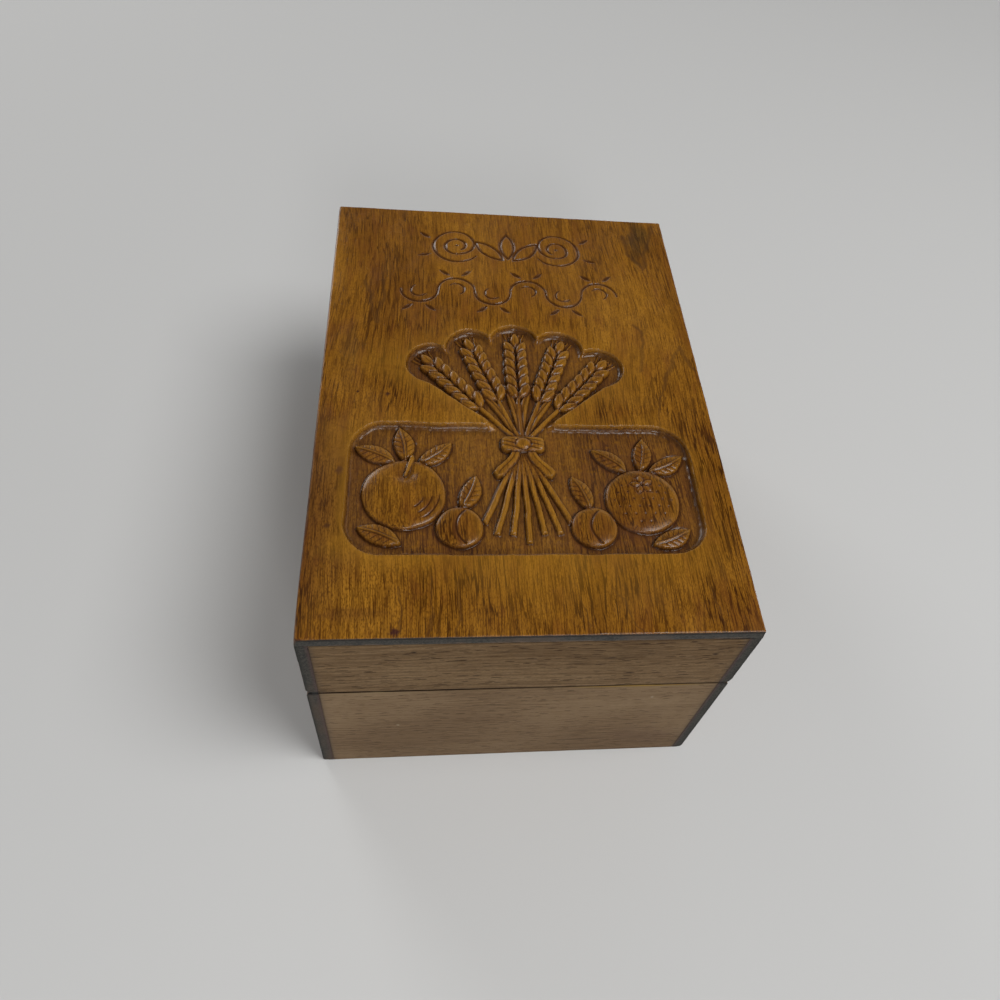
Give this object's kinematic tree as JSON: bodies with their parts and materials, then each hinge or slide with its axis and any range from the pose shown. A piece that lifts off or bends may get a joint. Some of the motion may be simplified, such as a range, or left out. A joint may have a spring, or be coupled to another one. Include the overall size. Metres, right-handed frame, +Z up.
{
  "type": "recipe card box",
  "caption": "Lidded wooden box for recipe cards, with a top board carved in relief over plain walls and a lid that swings back on brass butt hinges.",
  "frame": {"origin": "the middle of the box's underside, halfway between the side boards' outer faces and between the front and back walls' outer faces, without the hinges", "axes": "+X to the right as seen from the front, +Y to the back, where the hinges are, +Z up"},
  "size_m": [0.1746, 0.2541, 0.128],
  "materials": {
    "top_wood": "golden brown varnish, glossy",
    "wall_wood": "greyish brown stain, satin",
    "side_wood": "brown varnish, satin, with dark end grain",
    "inner_wood": "bare wood, matte",
    "hinge_brass": "aged, satin",
    "screw_brass": "aged, satin"
  },
  "bodies": {
    "base": {"base_front": "wall_wood", "base_back": "wall_wood", "base_left_side": "side_wood", "base_right_side": "side_wood", "base_bottom": "inner_wood", "left_hinge_base_leaf": "hinge_brass", "right_hinge_base_leaf": "hinge_brass", "left_hinge_pin": "hinge_brass", "right_hinge_pin": "hinge_brass", "base_hinge_screws": "screw_brass"},
    "lid": {"lid_top_panel": "top_wood", "lid_front": "wall_wood", "lid_back": "wall_wood", "lid_left_side": "side_wood", "lid_right_side": "side_wood", "left_hinge_lid_leaf": "hinge_brass", "right_hinge_lid_leaf": "hinge_brass", "lid_hinge_screws": "screw_brass"}
  },
  "joints": [
    {"name": "lid_hinge", "type": "hinge", "parent": "base", "child": "lid", "pos_m": [0, 0.1272, 0.0805], "axis": [-1, 0, 0], "range_deg": [0, 180]}
  ]
}
